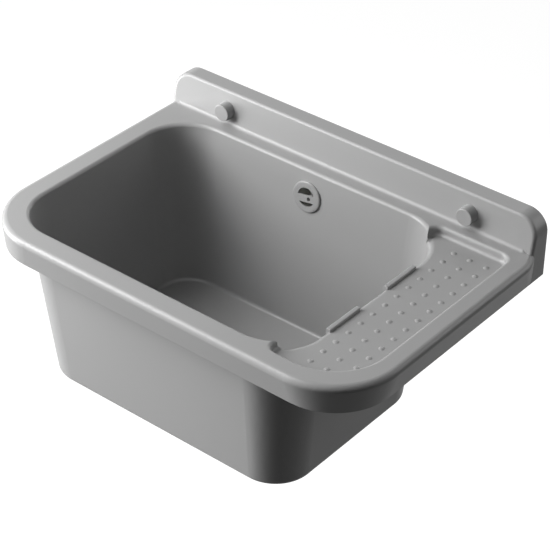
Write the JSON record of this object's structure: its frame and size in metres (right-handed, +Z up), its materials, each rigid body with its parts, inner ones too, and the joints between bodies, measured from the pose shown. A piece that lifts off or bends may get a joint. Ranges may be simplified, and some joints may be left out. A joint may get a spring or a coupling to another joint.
{
  "type": "wall-hung utility sink",
  "caption": "Wall-hung moulded utility sink with a deep tapered bowl, a studded draining ledge, a raised back strip with capped fixing screws, an overflow and a plugged waste.",
  "frame": {"origin": "on the wall plane, halfway between the axes of the two fixing screws", "axes": "+X to the right as seen from the front, along the back strip; +Y back, into the wall; +Z up"},
  "size_m": [0.6142, 0.4406, 0.3856],
  "materials": {
    "basin_grey": "satin moulded polypropylene, mid grey",
    "rosette_grey": "semi-gloss moulded plastic, mid grey",
    "pale_plastic": "satin moulded polypropylene, off-white",
    "black_rubber": "matt black rubber",
    "stainless": "brushed stainless steel",
    "zinc_steel": "bright zinc-plated steel"
  },
  "bodies": {
    "basin": {"basin": "basin_grey", "overflow_rosette": "rosette_grey", "overflow_screw": "stainless", "overflow_gasket": "black_rubber", "overflow_body": "pale_plastic", "overflow_pipe": "pale_plastic", "upper_pipe_seal": "black_rubber", "upper_pipe_nut": "pale_plastic", "lower_pipe_seal": "black_rubber", "lower_pipe_nut": "pale_plastic", "top_gasket": "black_rubber", "waste_strainer": "stainless", "waste_screw": "stainless", "bottom_gasket": "black_rubber", "waste_body": "pale_plastic", "left_bush": "pale_plastic", "right_bush": "pale_plastic", "left_washer": "zinc_steel", "right_washer": "zinc_steel", "left_wall_screw": "zinc_steel", "right_wall_screw": "zinc_steel"},
    "drain_plug": {"drain_plug": "black_rubber"},
    "left_cap": {"left_cap": "basin_grey"},
    "right_cap": {"right_cap": "basin_grey"}
  },
  "joints": [
    {"name": "plug_lift", "type": "slide", "parent": "basin", "child": "drain_plug", "axis": [0, 0, 1], "range_m": [0, 0.15]},
    {"name": "left_cap_pull", "type": "slide", "parent": "basin", "child": "left_cap", "axis": [0, -1, 0], "range_m": [0, 0.04]},
    {"name": "right_cap_pull", "type": "slide", "parent": "basin", "child": "right_cap", "axis": [0, -1, 0], "range_m": [0, 0.04]}
  ]
}
